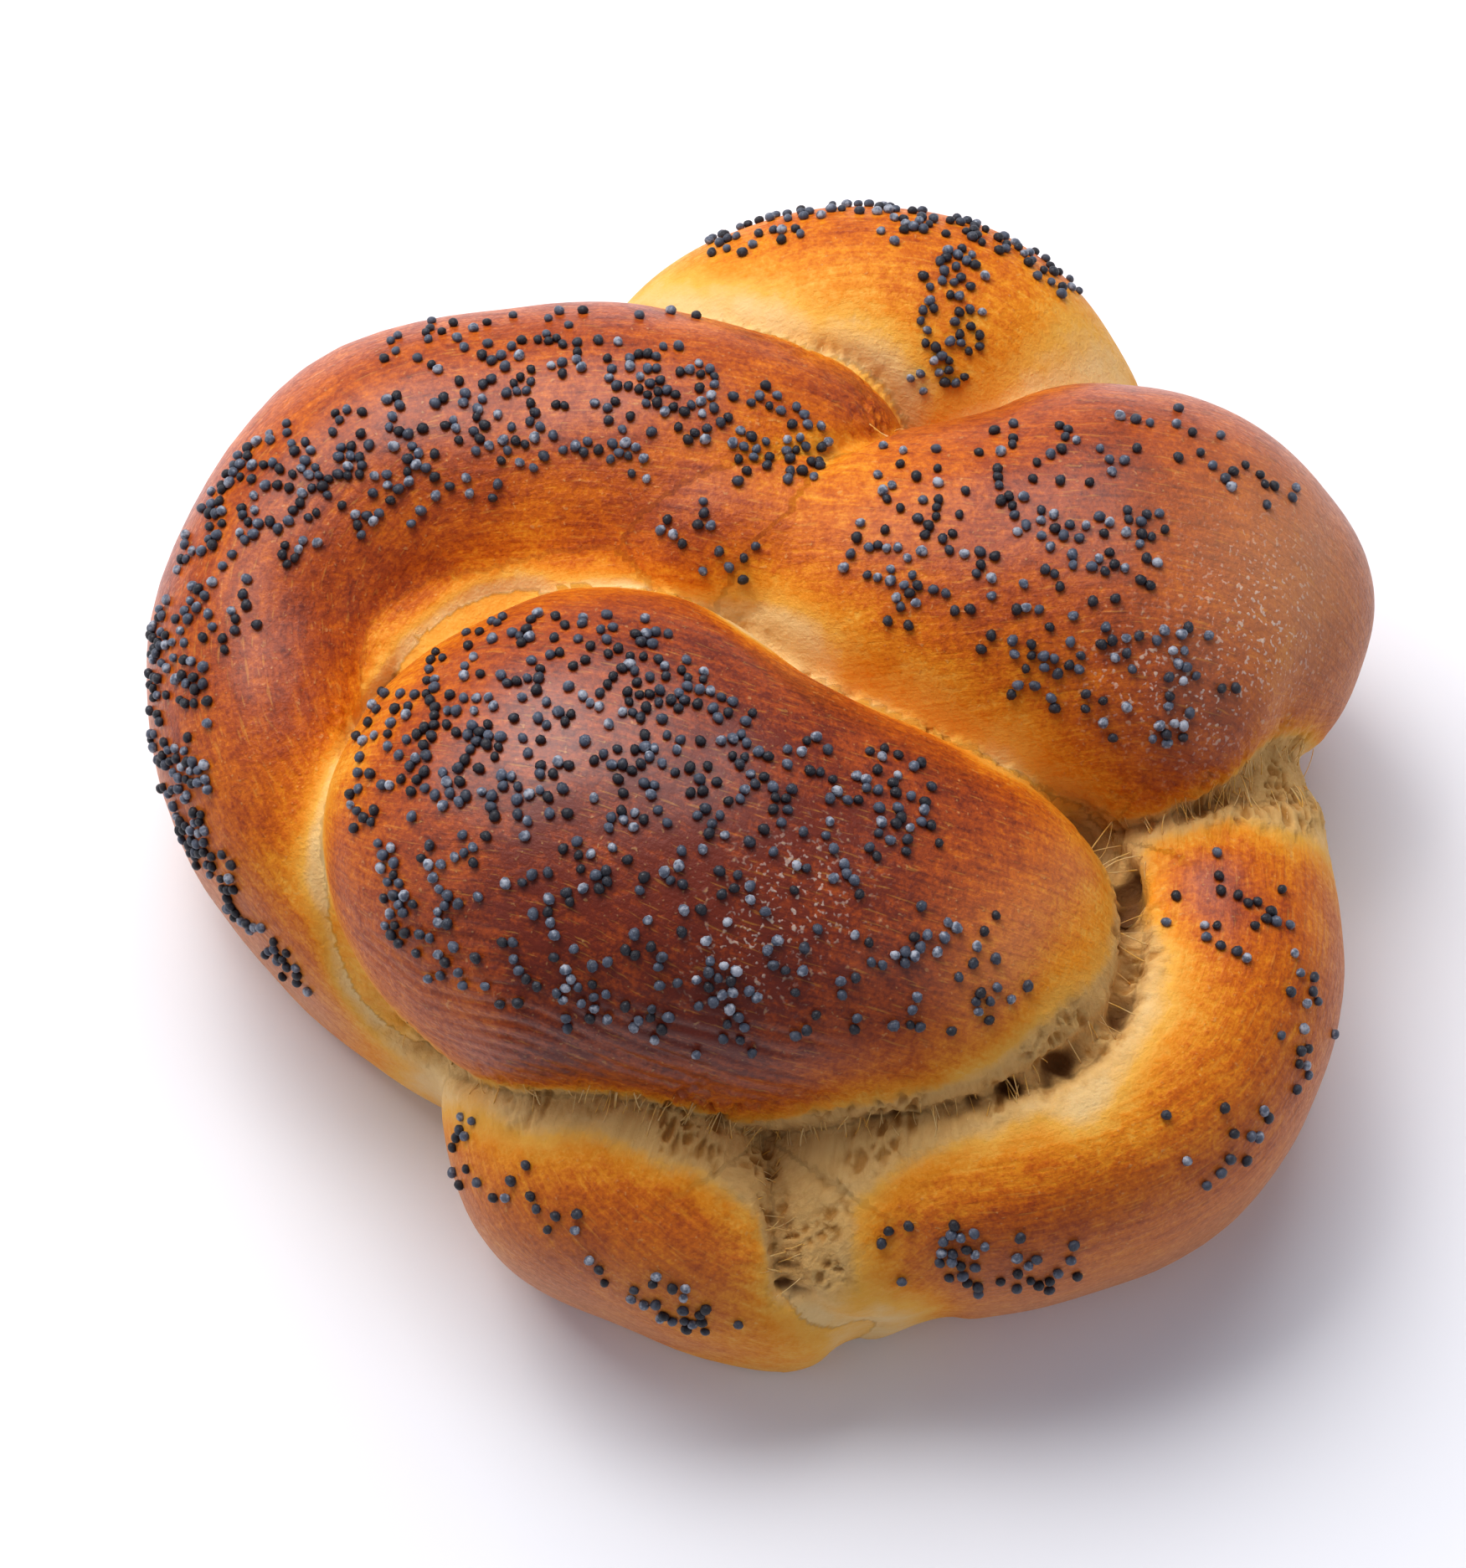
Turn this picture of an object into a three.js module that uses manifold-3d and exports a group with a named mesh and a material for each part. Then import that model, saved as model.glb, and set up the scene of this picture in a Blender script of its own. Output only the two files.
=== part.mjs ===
// A braided bread roll: thick strands of dough knotted over and under each other and baked into one piece.
// Millimetres, +Z up. The origin is on the flat base, under the middle of the roll's outline.
// +X is to the right and +Y to the back, seen with the wide centre lobe towards the viewer.
import * as THREE from "three";
import { mergeVertices } from "three/addons/utils/BufferGeometryUtils.js";
import Module from "manifold-3d";

const BASE_SINK = 4; // how far a resting strand would reach below the table before its base is cut flat
const SECTION_FULLNESS = 2.3; // exponent of a strand's section: 2 is an ellipse, more is fuller
const RING_SIDES = 24; // corners around a strand
const RINGS = 28; // rings along a strand
const TABLE = { width: 400, depth: 100 }; // the block under the table that cuts the base flat

// Each strand is a list of stations along its middle line: [x, y, z, half width, half height].
const restingStrands = {
  left_arc: [
    [-13, -25, 11, 8, 9],
    [-26, -20, 14, 9, 12],
    [-37, -11, 16, 10, 15],
    [-44.5, 2, 18, 12, 17],
    [-44, 16, 19, 14, 18],
    [-34, 27, 20, 17.5, 20],
    [-20, 29.5, 21, 18, 20],
    [-7, 28.5, 21, 18, 20],
    [4, 27, 20, 16, 18],
    [14, 25, 17, 12, 14],
  ],
  inner_shelf: [
    [-36, -2, 18, 9, 12],
    [-33, 8, 20, 11, 13],
    [-24, 17, 21, 12, 14],
    [-12, 19, 22, 12, 15],
    [0, 18, 22, 11, 15],
  ],
  rear_arch: [
    [-14, 36, 12, 9, 12],
    [-4, 44, 15, 13, 15],
    [8, 48, 17, 14, 16],
    [20, 47, 16, 14.5, 16],
    [29, 41, 13, 12, 13],
    [33, 32, 10, 9, 10],
  ],
  right_lobe: [
    [-6, 20, 22, 10, 15],
    [8, 17, 23, 15, 18],
    [22, 16, 23, 19.5, 20],
    [36, 16, 22, 22, 20],
    [47, 13, 18, 20.5, 17],
    [56.5, 9, 14, 12, 12],
  ],
  front_arc: [
    [40, 3, 9, 13, 9],
    [43, -8, 14, 13, 14],
    [41, -20, 15, 14, 15],
    [35, -29, 15, 14, 15],
    [25, -35, 15, 14, 15],
    [13, -36.5, 14, 14, 14],
    [1, -36, 12, 9, 11],
  ],
  front_fan: [
    [-22, -18, 11, 10, 11],
    [-17, -27, 13, 15, 13],
    [-10, -35, 14, 16, 14],
    [0, -41, 12, 13, 12],
    [11, -43, 9, 9, 9],
  ],
  under_body: [
    [-34, 2, 12, 20, 14],
    [-12, 2, 14, 36, 18],
    [12, -2, 14, 36, 17],
    [34, -4, 12, 24, 14],
  ],
};

// These lie on top of the resting strands, so their undersides stay round.
const upperStrands = {
  saddle: [
    [-18, 24, 24, 14, 15],
    [-5, 21, 25, 12, 15],
    [6, 19, 25, 11, 15],
    [18, 18, 24, 12, 17],
  ],
  centre_lobe: [
    [-37, -4, 25, 14, 16],
    [-27.5, -7, 28, 20.5, 19],
    [-15, -10, 29, 23.5, 20],
    [-2, -14, 28, 21, 20],
    [11, -17, 26, 17, 18],
    [22, -18, 23, 12.5, 15],
    [31, -18, 19, 8, 11],
  ],
};

const wasm = await Module();
wasm.setup();

// A closed geometry as a solid that can be joined and cut.
function solidOf(geometry) {
  const bare = geometry.clone();
  bare.deleteAttribute("normal");
  bare.deleteAttribute("uv");
  const merged = mergeVertices(bare);
  return new wasm.Manifold(
    new wasm.Mesh({
      numProp: 3,
      vertProperties: new Float32Array(merged.attributes.position.array),
      triVerts: new Uint32Array(merged.index.array),
    }),
  );
}

// A solid's own triangles as a geometry.
function geometryOf(solid) {
  const mesh = solid.getMesh();
  const geometry = new THREE.BufferGeometry();
  geometry.setAttribute("position", new THREE.BufferAttribute(new Float32Array(mesh.vertProperties), 3));
  geometry.setIndex(new THREE.BufferAttribute(new Uint32Array(mesh.triVerts), 1));
  geometry.computeVertexNormals();
  return geometry;
}

// Distance from a section's middle to its rounded outline, as a share of its half width and half height.
function sectionReach(cosine, sine) {
  const sum = Math.abs(cosine) ** SECTION_FULLNESS + Math.abs(sine) ** SECTION_FULLNESS;
  return sum ** (-1 / SECTION_FULLNESS);
}

// A ball drawn out along a strand's middle line, with round ends. A resting strand's lower half
// reaches below the table.
function strandGeometry(stations, rests) {
  const curveOf = (points) => new THREE.CatmullRomCurve3(points, false, "catmullrom");
  const middle = curveOf(stations.map(([x, y, z]) => new THREE.Vector3(x, y, z)));
  const halves = curveOf(stations.map(([, , , width, height]) => new THREE.Vector3(width, height, 0)));
  const length = middle.getLength();
  const up = new THREE.Vector3(0, 0, 1);
  const strand = new THREE.SphereGeometry(1, RING_SIDES, RINGS);
  const corners = strand.attributes.position;
  for (let i = 0; i < corners.count; i++) {
    const ball = new THREE.Vector3().fromBufferAttribute(corners, i);
    const share = (1 - ball.y) / 2;
    const along = middle.getTangent(share);
    const side = new THREE.Vector3().crossVectors(along, up).normalize();
    const top = new THREE.Vector3().crossVectors(side, along);
    const { x: halfWidth, y: halfHeight } = halves.getPoint(share);
    const fromEnd = Math.min(share, 1 - share) * length;
    const cap = Math.sqrt(1 - Math.max(0, 1 - fromEnd / halfWidth) ** 2);
    const angle = Math.atan2(-ball.z, ball.x);
    const reach = cap * sectionReach(Math.cos(angle), Math.sin(angle));
    const corner = middle.getPoint(share);
    const drop = rests && angle < 0 ? corner.z + BASE_SINK : halfHeight;
    corner.addScaledVector(side, halfWidth * reach * Math.cos(angle));
    corner.addScaledVector(top, drop * reach * Math.sin(angle));
    corners.setXYZ(i, corner.x, corner.y, corner.z);
  }
  return strand;
}

// All strands joined into one body, with a flat base.
function loafGeometry() {
  const pieces = [
    ...Object.values(restingStrands).map((stations) => strandGeometry(stations, true)),
    ...Object.values(upperStrands).map((stations) => strandGeometry(stations, false)),
  ];
  const joined = pieces.map(solidOf).reduce((body, piece) => body.add(piece));
  const belowTable = new THREE.BoxGeometry(TABLE.width, TABLE.width, TABLE.depth);
  belowTable.translate(0, 0, -TABLE.depth / 2);
  const geometry = geometryOf(joined.subtract(solidOf(belowTable)));
  geometry.computeBoundingBox();
  const middle = geometry.boundingBox.getCenter(new THREE.Vector3());
  return geometry.translate(-middle.x, -middle.y, 0);
}

const crust = new THREE.MeshStandardMaterial({ color: 0xa3501c, roughness: 0.5, metalness: 0 });
const loaf = new THREE.Mesh(loafGeometry(), crust);
loaf.name = "loaf";

const braidedRoll = new THREE.Group();
braidedRoll.add(loaf);

export default braidedRoll;
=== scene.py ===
"""A braided bread roll with poppy seeds: the baked dough, its crumb threads, the seeds and a plain stage.

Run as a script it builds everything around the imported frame. The file is laid out as an add-on: sizes and
colours are scene properties, and each group of pieces has its own operator.
"""
import math
from itertools import product

import bmesh
import bpy
import numpy as np
from mathutils import Matrix, Vector, noise
from mathutils.bvhtree import BVHTree


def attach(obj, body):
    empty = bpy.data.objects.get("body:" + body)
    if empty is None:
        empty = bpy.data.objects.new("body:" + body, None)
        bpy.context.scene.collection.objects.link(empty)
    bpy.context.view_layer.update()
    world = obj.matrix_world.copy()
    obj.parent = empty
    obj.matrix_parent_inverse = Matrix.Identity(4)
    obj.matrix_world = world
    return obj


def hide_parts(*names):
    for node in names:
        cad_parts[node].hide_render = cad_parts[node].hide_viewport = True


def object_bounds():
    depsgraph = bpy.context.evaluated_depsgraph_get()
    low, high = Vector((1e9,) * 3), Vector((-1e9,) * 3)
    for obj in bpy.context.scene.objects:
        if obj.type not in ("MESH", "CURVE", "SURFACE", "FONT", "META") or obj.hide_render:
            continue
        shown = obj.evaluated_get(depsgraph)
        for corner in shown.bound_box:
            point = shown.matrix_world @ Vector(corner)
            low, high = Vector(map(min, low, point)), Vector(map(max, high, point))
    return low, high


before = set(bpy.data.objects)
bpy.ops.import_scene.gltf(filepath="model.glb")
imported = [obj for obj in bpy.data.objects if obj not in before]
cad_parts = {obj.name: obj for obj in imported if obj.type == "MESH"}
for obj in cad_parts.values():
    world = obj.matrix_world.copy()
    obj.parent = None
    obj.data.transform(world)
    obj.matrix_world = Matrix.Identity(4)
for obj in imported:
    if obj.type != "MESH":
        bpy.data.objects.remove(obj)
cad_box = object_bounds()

bl_info = {
    "name": "Braided Bread Roll",
    "version": (1, 0, 0),
    "blender": (4, 5, 0),
    "location": "3D View > Sidebar > Bread",
    "description": "Builds a braided bread roll with poppy seeds around its packed frame",
    "category": "Add Mesh",
}

# ---- Layout of the dough ----

LAYOUT_WIDTH = 117.26  # how wide the layout is, which the frame's width is compared with
LAYOUT_MIDDLE = np.array([0.48, 4.67, 0.0])  # the layout's point that lies over the frame's origin
MM = (cad_box[1].x - cad_box[0].x) / LAYOUT_WIDTH
BASE_SINK = 4.0  # how far a resting strand would reach below the table before its base is cut flat
SECTION_FULLNESS = 2.3  # exponent of a strand's section: 2 is an ellipse, more is fuller

# Each station of a strand: x, y, z, half width and half height, in millimetres of the layout, and how dark
# it is baked, from 0, pale, to 1.
STRANDS = {
    "left_arc": [
        (-13, -25, 11, 8, 9, 0.35),
        (-26, -20, 14, 9, 12, 0.46),
        (-37, -11, 16, 10, 15, 0.62),
        (-44.5, 2, 18, 12, 17, 0.72),
        (-44, 16, 19, 14, 18, 0.76),
        (-34, 27, 20, 17.5, 20, 0.74),
        (-20, 29.5, 21, 18, 20, 0.74),
        (-7, 28.5, 21, 18, 20, 0.72),
        (4, 27, 20, 16, 18, 0.62),
        (14, 25, 17, 12, 14, 0.46),
    ],
    "inner_shelf": [
        (-36, -2, 18, 9, 12, 0.55),
        (-33, 8, 20, 11, 13, 0.58),
        (-24, 17, 21, 12, 14, 0.66),
        (-12, 19, 22, 12, 15, 0.70),
        (0, 18, 22, 11, 15, 0.66),
    ],
    "rear_arch": [
        (-14, 36, 12, 9, 12, 0.34),
        (-4, 44, 15, 13, 15, 0.46),
        (8, 48, 17, 14, 16, 0.58),
        (20, 46.6, 16, 14, 16, 0.54),
        (28.4, 40.4, 13, 11.4, 13, 0.24),
        (33, 32, 10, 9, 10, 0.20),
    ],
    "right_lobe": [
        (-6, 20, 22, 10, 15, 0.56),
        (8, 17, 23, 15, 18, 0.60),
        (22, 15.4, 23, 20, 20, 0.74),
        (35, 15.6, 22, 23.4, 20, 0.78),
        (46.6, 13.8, 18, 20.2, 17, 0.70),
        (55.4, 8.8, 14, 12.6, 12, 0.66),
    ],
    "saddle": [
        (-18, 24, 24, 14, 15, 0.74),
        (-5, 21, 25, 12, 15, 0.68),
        (6, 19, 25, 11, 15, 0.64),
        (18, 18, 24, 12, 17, 0.72),
    ],
    "centre_lobe": [
        (-37, -4, 25, 14, 16, 0.64),
        (-27.5, -7.5, 28, 21, 19, 0.74),
        (-15, -10.8, 29, 24.2, 20, 0.92),
        (-2, -15.3, 28, 21, 20, 0.94),
        (11.4, -18.2, 26, 18.4, 18, 0.88),
        (22.8, -20, 23, 15.7, 15, 0.74),
        (33.4, -21.2, 19, 10.8, 11, 0.60),
    ],
    "front_arc": [
        (38, 9.5, 9, 8.5, 9, 0.35),
        (42.1, 1, 12.4, 11.2, 12.4, 0.38),
        (42.4, -7.5, 14, 12.5, 14, 0.56),
        (40.9, -20.2, 15, 13.5, 15, 0.66),
        (35.7, -30.1, 15, 13.6, 15, 0.72),
        (25.4, -34.9, 15, 13.6, 15, 0.76),
        (14, -37, 13.5, 13.4, 13.5, 0.76),
        (5.5, -41.5, 11.5, 11, 11.5, 0.62),
        (-3, -45, 9.5, 9, 9.5, 0.40),
    ],
    "front_fan": [
        (-12.5, -17, 11, 17, 11, 0.40),
        (-13, -27, 13.5, 17.4, 13.5, 0.58),
        (-12.5, -35.5, 14, 14.8, 14, 0.72),
        (-7, -41.5, 13, 10.5, 13, 0.70),
        (2.5, -45.6, 9.5, 8.4, 9.5, 0.46),
        (11.5, -46, 6, 5.6, 6, 0.36),
    ],
    "under_body": [
        (-34, 2, 12, 20, 14, 0.08),
        (-12, 2, 14, 36, 18, 0.08),
        (12, -2, 14, 36, 17, 0.08),
        (34, -4, 12, 24, 14, 0.08),
    ],
}
UPPER_STRANDS = ("saddle", "centre_lobe")  # these lie on the others, so their undersides stay round

# Strands that grew together are one lobe, with no pale seam inside it.
LOBES = {
    "arc": ("left_arc", "inner_shelf"),
    "saddle": ("saddle",),
    "arch": ("rear_arch",),
    "right": ("right_lobe",),
    "centre": ("centre_lobe",),
    "front": ("front_arc",),
    "fan": ("front_fan",),
    "under": ("under_body",),
}
FUSED = ({"arc", "saddle"}, {"right", "saddle"})

# How far a pale band reaches over each lobe from its seam with another, in millimetres, and how pale it gets.
PALE_BANDS = {
    "arc": {"right": (1.6, 0.45), "centre": (1.8, 1.0), "arch": (1.8, 0.8), "fan": (3.0, 1.0)},
    "right": {"arc": (1.2, 0.30), "centre": (3.0, 0.8), "arch": (2.0, 0.7), "front": (2.2, 0.9)},
    "arch": {"arc": (5.0, 1.0), "right": (3.5, 1.0)},
    "saddle": {"centre": (1.8, 0.85), "arch": (2.0, 0.7)},
    "centre": {
        "arc": (4.6, 0.66), "saddle": (3.0, 0.50), "right": (4.0, 0.6),
        "front": (5.0, 1.0), "fan": (1.6, 0.8),
    },
    "front": {"centre": (6.0, 1.0), "right": (6.0, 1.0), "fan": (5.5, 1.0)},
    "fan": {"centre": (5.6, 0.95), "front": (1.5, 0.70), "arc": (2.0, 0.8)},
}
OTHER_BAND = (2.5, 0.9)  # where no band is given

# Places where the crust tore open in the oven: x, y, z, reach and strength, in the frame's millimetres.
TEARS = [
    (-20, -38, 26, 7, 0.6), (-8, -41, 26, 8, 0.85), (5, -43, 25, 8, 1.0),
    (9, -40, 26, 7, 1.0), (18, -37, 29, 7, 1.0), (28, -33, 30, 6, 1.0),
    (34, -24, 30, 5, 0.9), (5, -46, 23, 4, 0.8), (2, -52, 21, 4, 0.4),
    (35, -13, 27, 6, 0.9), (43, -9, 27, 7, 1.0), (51, -6, 22, 7, 0.9),
    (-39, -3, 34, 5, 0.6), (-38, 4, 35, 4, 0.4), (-1, 4, 37, 4, 0.5),
    (2, 33, 34, 6, 0.6), (12, 29, 34, 6, 0.6), (-30, -31, 22, 6, 0.7),
    (-5, -44, 27, 6, 0.8), (8, -46, 25, 6, 0.8), (5, -51, 22, 5, 0.7),
]

# Gaps that stayed open under the centre lobe's edge and in the deeper seams: x, y, z, reach and depth.
CREVICES = [
    (33, -18, 25.6, 3.5, 1.7), (33, -24, 26, 3.5, 2.2), (31.5, -30.5, 27, 3.5, 2.0),
    (27.4, -35.6, 28.6, 3.5, 2.0), (21.5, -38.4, 28.8, 3.5, 2.3), (16, -39.8, 28.5, 3, 1.9),
    (10, -40.8, 28, 3, 1.4), (3.4, -48.4, 23.1, 2, 3.0), (3, -53.2, 19.2, 2.4, 1.8),
    (6.6, -54.7, 19, 2, 1.6), (-37, -7, 33, 4, 1.3), (-35, -1, 33, 4, 1.1),
    (-30, -31, 22, 4, 1.8), (38, -10, 27, 5, 1.3),
]

# Poppy seeds as they were sprinkled: from, to, reach, and how many, in the frame's millimetres.
SPRINKLES = [
    ((-46, -26, 18), (-52, -14, 24), 5.5, 50),
    ((-54, -10, 26), (-54, 4, 31), 6.5, 96),
    ((-51, 8, 33), (-46, 17, 37), 7.5, 84),
    ((-42, 18, 39), (-28, 21, 41), 7.5, 92),
    ((-26, 26, 41), (-12, 25, 41), 8.5, 100),
    ((-10, 27, 41), (1, 21, 39), 6.0, 60),
    ((-34, 33, 36), (-8, 35, 36), 4.0, 20),
    ((-9, 13, 40), (-3, 10, 38), 3.5, 14),
    ((-2, 51, 29), (14, 54, 30), 4.5, 48),
    ((14, 51, 31), (28, 47, 27), 5.0, 50),
    ((19, 44, 33), (17, 34, 31), 3.5, 50),
    ((14, 16, 41), (34, 20, 42), 6.0, 44),
    ((11, 8, 39), (32, 9, 43), 7.0, 92),
    ((24, -1, 41), (37, -3, 37), 6.5, 62),
    ((38, 22, 38), (47, 18, 36), 4.5, 16),
    ((-34, -10, 43), (-30, -22, 44), 7.0, 72),
    ((-26, -4, 46), (-12, -5, 48), 7.0, 84),
    ((-24, -14, 48), (-8, -14, 49), 9.0, 128),
    ((-18, -23, 47), (10, -19, 46), 8.5, 124),
    ((-28, -28, 42), (-6, -35, 42), 6.5, 96),
    ((-2, -34, 42), (18, -31, 40), 7.0, 58),
    ((42, -22, 29), (49, -30, 24), 6.5, 34),
    ((38, -42, 24), (46, -36, 23), 6.0, 14),
    ((14, -53, 22), (26, -53, 20), 4.5, 38),
    ((-26, -42, 20), (-17, -48, 22), 5.0, 20),
    ((-14, -53, 19), (-5, -56, 17), 4.0, 24),
]

# Places where the crust is darker or lighter, laid out as the tears are. Some are how the oven baked it;
# others are painted shade, as low on the centre lobe and high on the front arc, or painted sheen, as the
# lighter spot high on the centre lobe.
BAKE_SHADE_AND_SHEEN_SPOTS = [
    (9, 20, 38, 6, -0.10), (11, 27, 36, 5, 0.12), (-1, 2, 38, 4.8, -0.80),
    (6, 2, 38, 4, -0.16), (16, -4, 39, 4, -0.20), (23, -9, 37, 4, -0.24),
    (29, -15, 34, 4, -0.18), (-36, -10, 42, 5, -0.20), (-34, -2, 42, 5, -0.18),
    (-28, 3, 42, 5, -0.16), (-16, 7, 43, 6, -0.10), (-30, -20, 43, 6, 0.06),
    (-26, -34, 38, 4, -0.10), (-4, -30, 44, 12, 0.16), (-18, -27, 45, 9, 0.14),
    (8, -26, 44, 8, 0.06), (25, -34, 32, 6, -0.18), (29, -26, 35, 6, -0.10),
    (-22, 13, 37, 5, -0.10), (-42, -4, 34, 7, 0.08), (-36, -20, 27, 6, 0.16),
    (-28, -33, 18, 5, -0.20), (30, 38, 27, 6, -0.16), (24, -3, 37, 6, -0.18),
    (50, 2, 34, 9, -0.16), (50, -14, 22, 8, -0.08), (28, -41, 30, 4, -0.10),
    (39, -20, 29, 6, 0.32), (44, -24, 28, 5, 0.10), (-8, -47, 26, 7, 0.12),
    (-6, -56, 17, 6, -0.12), (-40, -12, 33, 4, -0.20), (-40.5, -18, 30, 4, -0.30),
    (-33, -29, 12, 6, -0.25), (8, 28, 34, 6, 0.10), (32, 17, 42, 8, 0.08),
    (42, -16, 29, 7, 0.10), (12, -0.5, 38, 5, -0.10), (48, -18, 27, 6, 0.14),
    (-19, -39, 27, 5, -0.15), (22, -29, 40, 8, -0.10), (-34, -20, 40, 5, -0.08),
    (-38, -14, 38, 4, -0.12), (-6.5, -45.4, 27, 5, -0.26), (-11, -43.4, 27.5, 4, -0.14),
    (-0.7, -45.5, 24.2, 5, -0.30), (7, -46.8, 24.6, 5, -0.30), (5.3, -52, 21.4, 4, -0.14),
    (-10, -5, 48, 7, -0.10), (-39.5, -24, 16, 6, 0.12), (30, 16, 42, 7, 0.06),
]

# Dull tan crust high on the lobes: partly less glazed crust, partly painted light bounced from the pale floor
# and lights.
TAN_AND_BOUNCE_LIGHT_SPOTS = [
    (24, -31, 36, 8, 0.6), (31, -22, 33, 6, 0.5), (47, 8, 36, 12, 0.6),
    (52, 14, 30, 10, 0.4),
]

# Flour dust on the crust.
DUST_SPOTS = [
    (47, 4, 36, 8, 0.7), (40, -4, 35, 5, 0.5), (3, -27, 45, 5, 0.55),
    (-2, -32, 43, 4, 0.5), (34, -2, 38, 4, 0.6),
]

# Folds in the crust, low on the centre lobe.
WRINKLE_SPOTS = [
    (-29, -27, 36, 7, 0.9), (-22, -34, 36, 8, 1.0), (-10, -38, 35, 8, 1.0),
    (2, -39, 35, 7, 0.6),
]

SEED_STREW = 20260  # seed of the random draws for the poppy seeds
THREAD_STREW = 717  # seed of the random draws for the crumb threads


# ---- Sizes and colours a user would change ----


def length_property(name, description, millimetres):
    """A length in metres, given in millimetres."""
    return bpy.props.FloatProperty(
        name=name, description=description, default=millimetres * MM, min=0.0, unit="LENGTH", precision=5)


def colour_property(name, description, colour):
    """A linear colour."""
    return bpy.props.FloatVectorProperty(
        name=name, description=description, default=colour, size=3, min=0.0, max=1.0, subtype="COLOR")


class RollSizes(bpy.types.PropertyGroup):
    """Sizes of the roll's pieces."""

    skin_step: length_property("Skin Step", "Edge length of the dough's mesh", 0.70)
    swell: length_property("Swell", "Height of the dough's slow bulges", 0.45)
    crease: length_property("Crease", "Depth of the cracks between lobes", 1.3)
    tear: length_property("Tear", "Height of the ridges in torn crumb", 0.42)
    cell: length_property("Crumb Cell", "Depth of the cells in torn crumb", 0.75)
    seed_length: length_property("Seed Length", "Length of a poppy seed", 1.12)
    seed_gap: length_property("Seed Gap", "Least distance between the middles of two seeds", 0.87)
    thread_length: length_property("Thread Length", "Longest crumb thread", 2.4)
    thread_width: length_property("Thread Width", "Thickness of a crumb thread", 0.09)
    threads: bpy.props.IntProperty(
        name="Threads", description="How many crumb threads span the seams", default=240, min=0, max=3000)


class RollColours(bpy.types.PropertyGroup):
    """Colours of the crust from pale to dark, of the painted shade in its gaps and crumb cells, of the seeds
    and of the floor.
    """

    cream: colour_property("Cream", "Dough that the oven hardly reached", (0.78, 0.51, 0.21))
    yellow: colour_property("Yellow", "Lightly baked dough beside a seam", (0.80, 0.39, 0.055))
    golden: colour_property("Golden", "Golden crust", (0.74, 0.245, 0.012))
    orange: colour_property("Orange", "Orange-brown crust", (0.57, 0.125, 0.006))
    brown: colour_property("Brown", "Brown crust", (0.36, 0.058, 0.007))
    # The crumb colour is also used for the painted glints on the crust.
    crumb: colour_property("Crumb", "Pale webs of torn crumb", (0.67, 0.40, 0.140))
    # Painted shade in the cells of the torn crumb, between its webs.
    cell_shade: colour_property("Hollow", "Ochre hollows between the webs", (0.44, 0.20, 0.042))
    # Dull tan crust: partly less baked, partly painted light bounced from the pale floor.
    tan: colour_property("Tan", "Dull tan crust low on the sides", (0.58, 0.27, 0.13))
    # Painted shade at the bottom of the gaps that stayed open.
    gap: colour_property("Gap", "Bottom of the gaps that stayed open", (0.15, 0.060, 0.016))
    dark: colour_property("Dark", "Dark reddish-brown crust", (0.145, 0.018, 0.006))
    flour: colour_property("Flour", "Flour dust on the crust", (0.80, 0.70, 0.60))
    seed_dark: colour_property("Seed Dark", "Darkest seeds", (0.012, 0.012, 0.018))
    seed_slate: colour_property("Seed Slate", "Slate-blue seeds", (0.085, 0.104, 0.150))
    seed_dusty: colour_property("Seed Dusty", "Seeds with dust on them", (0.38, 0.40, 0.46))
    floor: colour_property("Floor", "Pale floor", (0.90, 0.90, 0.93))


# ---- Strands and the field around them ----

LINE_STEPS = 180  # places along a strand's middle line that distances are taken from
SHARE_STEP = 1e-3  # share of a strand's length over which its direction is taken


def smooth_step(low, high, value):
    """0 below low, 1 above high, and smooth between."""
    share = np.clip((value - low) / (high - low), 0.0, 1.0)
    return share * share * (3.0 - 2.0 * share)


def falling(distance, reach):
    """1 at no distance, falling on a bell curve to 1/e at the reach."""
    return np.exp(-((distance / reach) ** 2))


def along(stations, share):
    """The stations' numbers at a share of the way, on a smooth curve through all of them."""
    rows = np.array(stations, float)
    rows = np.vstack([2 * rows[0] - rows[1], rows, 2 * rows[-1] - rows[-2]])
    place = np.asarray(share) * (len(stations) - 1)
    cell = np.clip(np.floor(place).astype(int), 0, len(stations) - 2)
    w = (place - cell)[:, None]
    a, b, c, d = (rows[cell + k] for k in range(4))
    return 0.5 * (2 * b + (c - a) * w + (2 * a - 5 * b + 4 * c - d) * w**2 + (3 * b - a - 3 * c + d) * w**3)


def directions(ahead):
    """Unit vectors along a strand, to its side and to its top, from vectors that point along it."""
    ahead = ahead / np.linalg.norm(ahead, axis=1)[:, None]
    side = np.cross(ahead, (0.0, 0.0, 1.0))
    side /= np.linalg.norm(side, axis=1)[:, None]
    return ahead, side, np.cross(side, ahead)


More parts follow.
